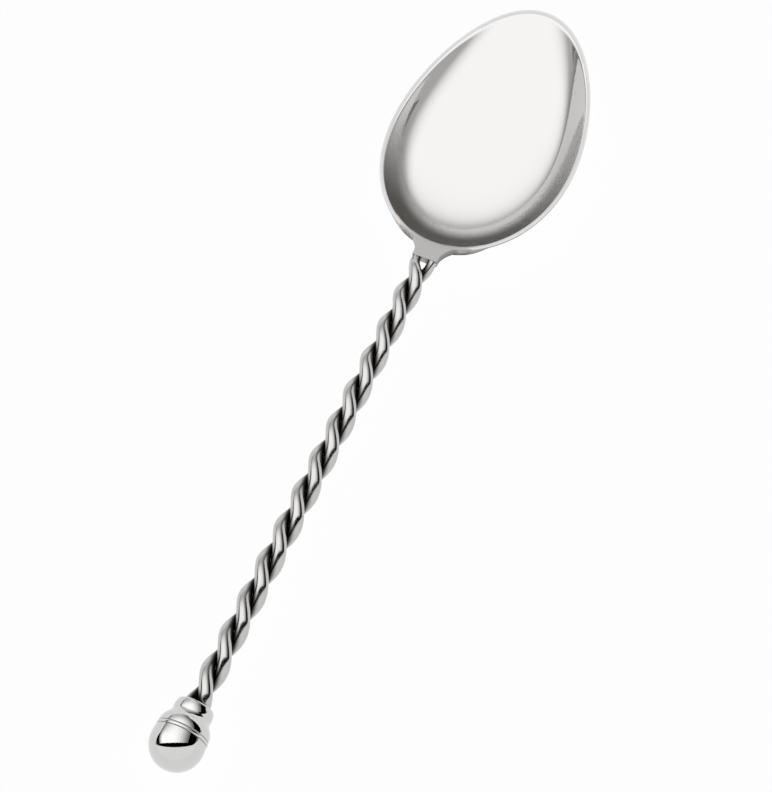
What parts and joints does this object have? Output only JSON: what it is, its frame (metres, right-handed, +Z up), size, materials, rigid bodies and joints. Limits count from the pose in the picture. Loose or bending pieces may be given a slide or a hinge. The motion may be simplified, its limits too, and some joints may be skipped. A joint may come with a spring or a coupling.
{
  "type": "bar spoon",
  "caption": "Polished metal bar spoon with an egg-shaped bowl, a twisted two-wire rope handle, a turned collar and a ball end.",
  "frame": {"origin": "centre of the footprint on the surface that the spoon lies on, hollow side up", "axes": "+X along the spoon from the ball to the tip of the bowl, +Y to the left, +Z up out of the bowl"},
  "size_m": [0.2204, 0.0486, 0.0149],
  "materials": {
    "bowl_steel": "stainless steel sheet, pressed and mirror polished",
    "wire_steel": "stainless steel wire, polished after twisting, darker in the grooves",
    "turned_steel": "stainless steel, turned and mirror polished",
    "braze_metal": "silver-coloured filler metal, as flowed"
  },
  "bodies": {
    "root": {"bowl": "bowl_steel", "strand_a": "wire_steel", "strand_b": "wire_steel", "ferrule": "turned_steel", "ball_knob": "turned_steel", "socket_braze": "braze_metal"}
  },
  "joints": []
}
